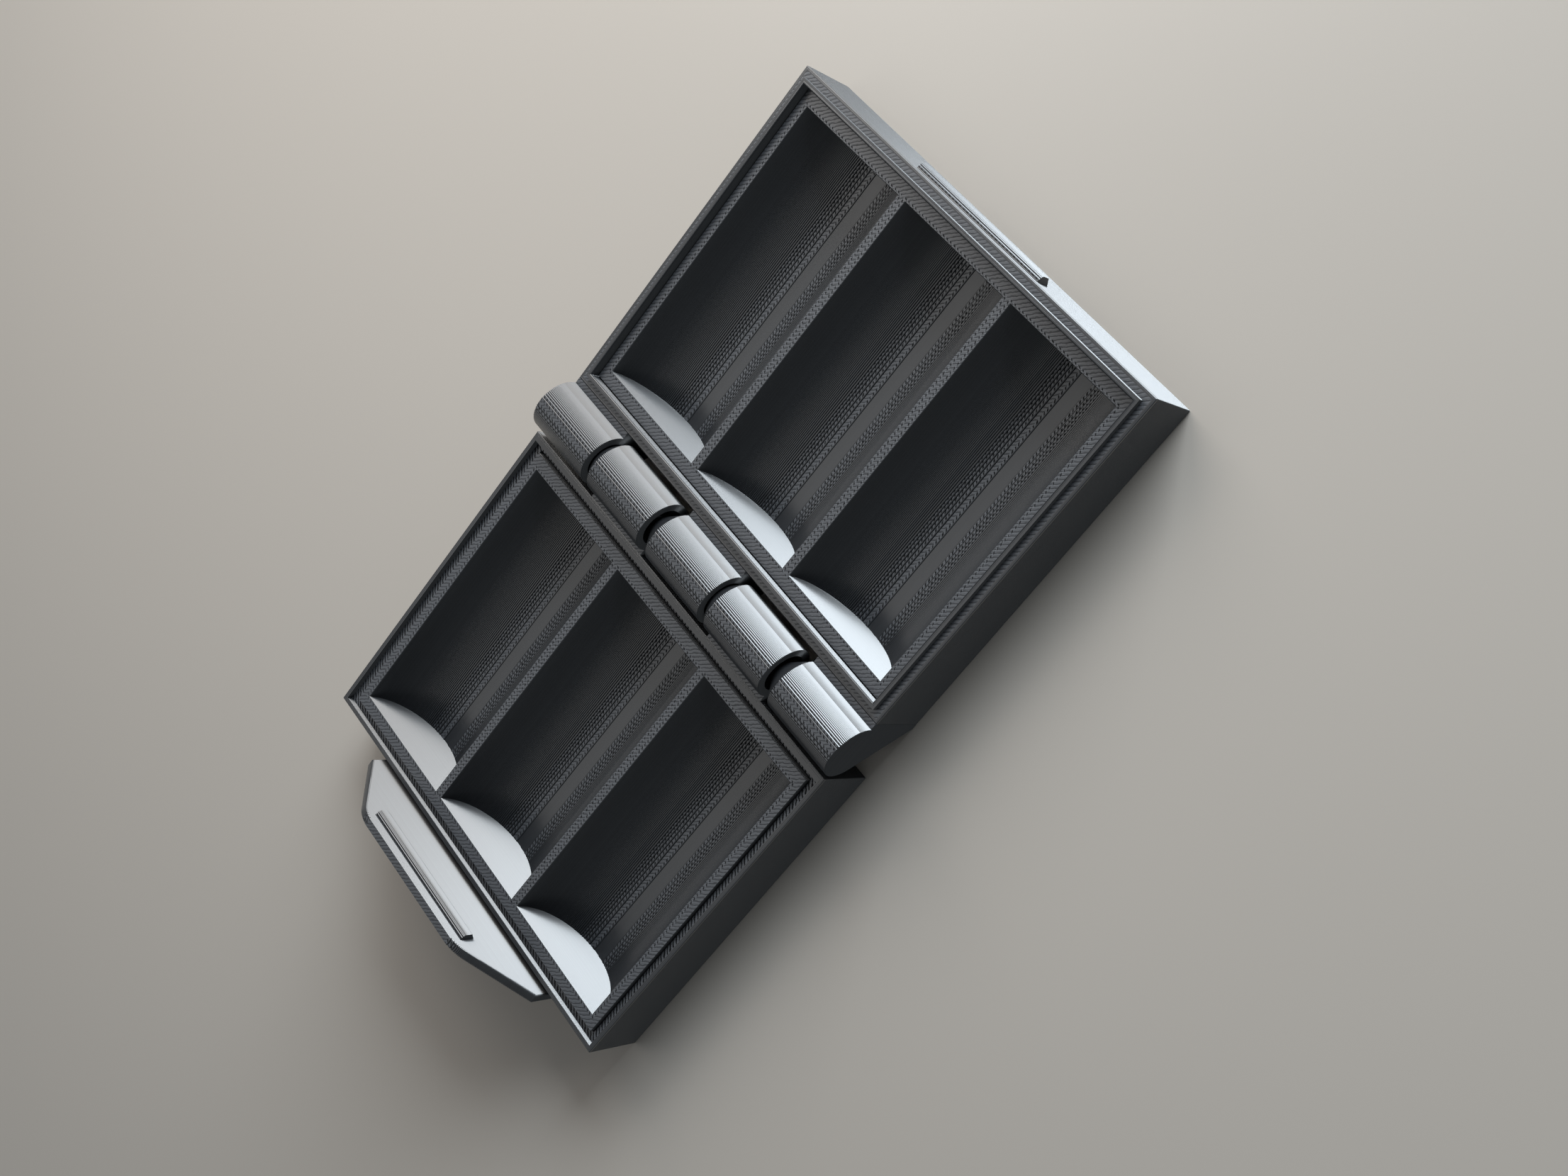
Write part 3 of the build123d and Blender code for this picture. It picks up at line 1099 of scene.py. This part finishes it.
broken = noise(relief, place, LOOSE_SCALE, 2.0)
loose = maths(relief, "MULTIPLY", maths(relief, "SUBTRACT", broken, 0.5), LOOSENESS)
turn_phase = maths(
    relief, "ADD", maths(relief, "DIVIDE", maths(relief, "ADD", x, y), TURN_PITCH), loose
)
stroke_phase = maths(relief, "ADD", maths(relief, "MULTIPLY", line_phase, 0.5), loose)
holes = maths(relief, "MULTIPLY", dash(relief, turn_phase, HOLE_SHARE), given["Holes"])
strokes = maths(relief, "MULTIPLY", dash(relief, stroke_phase, STROKE_SHARE), given["Strokes"])
marks = maths(relief, "MULTIPLY", maths(relief, "MAXIMUM", holes, strokes), top)
across_lines = turn_to(relief, (sqrt(0.5), -sqrt(0.5), 0), "OBJECT", "WORLD")
tilted = vector_maths(
    relief, "ADD", normal, vector_maths(relief, "SCALE", across_lines, scale=line_tilt)
)
relief.links.new(vector_maths(relief, "NORMALIZE", tilted), result["Normal"])
relief.links.new(layer_grey, result["Layer Grey"])
relief.links.new(marks, result["Marks"])
print("relief group nodes", len(relief.nodes))

# %% [markdown]
# Four finishes share the relief. Layered walls and single printed lines are dark and satin,
# with a clear sheen on top, which is the shader's coat. The infill is rough, with strokes, and
# along its edge the nozzle turns back and forth, which leaves a row of pinholes 1.19 mm apart.
# These two finishes lie only on level tops, and their colour is made much paler than the
# walls': that is painted light, for the brighter light that the tops catch. Inside a mark, a
# pinhole or a groove between strokes, the coat is switched off and the colour is almost black:
# painted shade, because no light comes back out of a hole. The colour changes a little from
# layer to layer and in soft blotches, and a fine noise roughens the surface through the Bump node.

# %% Finishes
CHARCOAL = (0.030, 0.032, 0.036)
# Painted shade: this near-black colour stands for the inside of a pinhole or a groove, which light
# does not reach.
HOLE_SHADE = (0.008, 0.008, 0.009)  # colour inside a pinhole or a gap between lines
DARKEST, LIGHTEST = 0.8, 1.25  # how far the colour strays, as shares of it
LAYER_PART, BLOTCH_PART = 0.6, 0.4  # what the layers and the blotches have in that
BLOTCH_SCALE = 120.0
ROUGHNESS, ROUGHNESS_SPREAD, MARK_ROUGHNESS = 0.4, 0.1, 0.35
PLASTIC_IOR = 1.45
SHEEN_IOR = 1.9


def mix_colours(tree, factor, first, second):
    """Mixes two colours, the first of which may be another node's output."""
    node = add_node(
        tree, "ShaderNodeMix", data_type="RGBA", inputs={0: factor, 6: first, 7: second}
    )
    return node.outputs[2]


def printed_plastic(name, tone_and_painted_light, sheen, grain, grain_scale, holes=0.0, strokes=0.0, line_tilt=0.0):
    """Charcoal plastic with the print's marks. Grain is the depth of its fine roughness."""
    material = bpy.data.materials[name]
    material.use_nodes = True
    tree = material.node_tree
    shader = tree.nodes["Principled BSDF"]
    shader.inputs["IOR"].default_value = PLASTIC_IOR
    shader.inputs["Coat IOR"].default_value = SHEEN_IOR
    shader.inputs["Coat Roughness"].default_value = sheen
    group = add_node(
        tree, "ShaderNodeGroup", node_tree=relief,
        inputs={"Line Tilt": line_tilt, "Holes": holes, "Strokes": strokes},
    )
    place = tree.nodes.new("ShaderNodeTexCoord").outputs["Object"]
    blotches = maths(tree, "MULTIPLY", noise(tree, place, BLOTCH_SCALE, 4.0), BLOTCH_PART)
    mixed = maths(tree, "MULTIPLY_ADD", group.outputs["Layer Grey"], LAYER_PART, blotches)
    dark = [c * DARKEST * tone_and_painted_light for c in CHARCOAL]
    light = [c * LIGHTEST * tone_and_painted_light for c in CHARCOAL]
    marks = group.outputs["Marks"]
    plain = mix_colours(tree, mixed, (*dark, 1), (*light, 1))
    # Painted shade: inside the marks the colour turns near black, for the shade inside a hole or
    # groove.
    marked = mix_colours(tree, marks, plain, (*HOLE_SHADE, 1))
    tree.links.new(marked, shader.inputs["Base Color"])
    rough_value = maths(tree, "MULTIPLY_ADD", mixed, ROUGHNESS_SPREAD, ROUGHNESS)
    rough_marked = maths(tree, "MULTIPLY_ADD", marks, MARK_ROUGHNESS, rough_value)
    tree.links.new(rough_marked, shader.inputs["Roughness"])
    tree.links.new(maths(tree, "SUBTRACT", 1.0, marks), shader.inputs["Coat Weight"])
    bump = add_node(
        tree, "ShaderNodeBump",
        inputs={
            "Strength": 1.0,
            "Distance": grain,
            "Height": noise(tree, place, grain_scale, 3.0, 0.6),
            "Normal": group.outputs["Normal"],
        },
    )
    tree.links.new(bump.outputs[0], shader.inputs["Normal"])


printed_plastic("printed_wall", tone_and_painted_light=0.9, sheen=0.25, grain=0.002 * MM, grain_scale=900.0)
printed_plastic("printed_line", tone_and_painted_light=1.0, sheen=0.25, grain=0.003 * MM, grain_scale=1500.0)
ROUGH = {"sheen": 0.35, "grain": 0.06 * MM, "grain_scale": 2500.0, "line_tilt": 0.2}
# The two top finishes get a tone far above the walls': painted light for the level tops, which
# catch more light.
printed_plastic("printed_pinholes", tone_and_painted_light=3.4, holes=1.0, **ROUGH)
printed_plastic("printed_infill", tone_and_painted_light=2.9, strokes=0.6, **ROUGH)
for piece, body in dressed.values():
    slots = [face.material_index for face in piece.data.polygons]
    print(piece.name, "faces per finish", [slots.count(number) for number in range(4)])
print("finishes", [finish.name for finish in finishes])

# %% [markdown]
# The floor. The real table is a scratched metal sheet. Here it is a plain pale plane, a little
# glossy, so that the window brightens it towards the back as it does the real table.

# %% Floor
FLOOR_SIZE = 6.0
FLOOR_COLOUR = (0.65, 0.59, 0.525)
FLOOR_ROUGHNESS = 0.35
select_none()
bpy.ops.mesh.primitive_plane_add(size=FLOOR_SIZE, location=(0, 0, 0))
floor = bpy.context.object
floor.name = "floor"
floor_material = bpy.data.materials.new("pale_table")
floor_material.use_nodes = True
floor_shader = floor_material.node_tree.nodes["Principled BSDF"]
floor_shader.inputs["Base Color"].default_value = (*FLOOR_COLOUR, 1)
floor_shader.inputs["Roughness"].default_value = FLOOR_ROUGHNESS
floor.data.materials.append(floor_material)
print("floor", FLOOR_COLOUR)

# %% [markdown]
# The light. A lamp high on the -X side lights the level faces, a second one beside it throws the
# soft shadow on the +X side, and a wide, low window behind the case is what the layered sides
# mirror: it gives them their silvery sheen, and it is cooler than the rest, as daylight is. The
# world fills the shadows with a dim, bluish grey.


# %% Lamps and world
WORLD_COLOUR = (0.86, 0.94, 1.0)
WORLD_STRENGTH = 0.13


def add_window(name, direction, distance, size, power, colour):
    """Area lamp that looks at the case from a direction."""
    way = Vector(direction).normalized()
    select_none()
    bpy.ops.object.light_add(type="AREA", location=way * distance)
    lamp = bpy.context.object
    lamp.name = name
    lamp.rotation_euler = (-way).to_track_quat("-Z", "Y").to_euler()
    lamp.data.shape = "RECTANGLE"
    lamp.data.size, lamp.data.size_y = size
    lamp.data.energy = power
    lamp.data.color = colour


add_window(
    "ceiling", direction=(-0.44, -0.32, 0.84), distance=0.8,
    size=(0.5, 0.5), power=0.33, colour=(1.0, 0.97, 0.94),
)
add_window(
    "side_window", direction=(-0.66, 0.46, 0.60), distance=0.5,
    size=(0.35, 0.35), power=1.0, colour=(1.0, 0.96, 0.92),
)
add_window(
    "back_window", direction=(-0.21, 0.90, 0.355), distance=1.2,
    size=(0.7, 0.85), power=18.0, colour=(0.84, 0.93, 1.0),
)
world = bpy.context.scene.world or bpy.data.worlds.new("studio")
bpy.context.scene.world = world
world.use_nodes = True
background = world.node_tree.nodes["Background"]
background.inputs["Color"].default_value = (*WORLD_COLOUR, 1)
background.inputs["Strength"].default_value = WORLD_STRENGTH
bpy.context.scene.view_settings.view_transform = "Standard"

# %% [markdown]
# The camera. It was solved from the case's own square corners in the photograph: where it stood,
# the point on the table that it looked at, its roll, and its focal length in pixels. The lens
# follows from that and the width of the sensor.

# %% Camera
CAMERA_PLACE = Vector((208.82, 160.02, 375.21)) * MM
CAMERA_AIM = Vector((11.57, 7.68, 0.0)) * MM
CAMERA_ROLL = radians(-83.58)
PHOTO_WIDTH = 2212
FOCAL_PIXELS = 2766.7
SENSOR_WIDTH = 36.0
bpy.ops.object.camera_add(location=CAMERA_PLACE)
camera = bpy.context.object
turn = (CAMERA_AIM - CAMERA_PLACE).to_track_quat("-Z", "Y").to_matrix()
camera.rotation_euler = turn.to_euler()
camera.rotation_euler.rotate_axis("Z", CAMERA_ROLL)
camera.data.sensor_width = SENSOR_WIDTH
camera.data.lens = SENSOR_WIDTH * FOCAL_PIXELS / PHOTO_WIDTH
camera.data.clip_start = 0.01
bpy.context.scene.camera = camera
print("lens", round(camera.data.lens, 2))
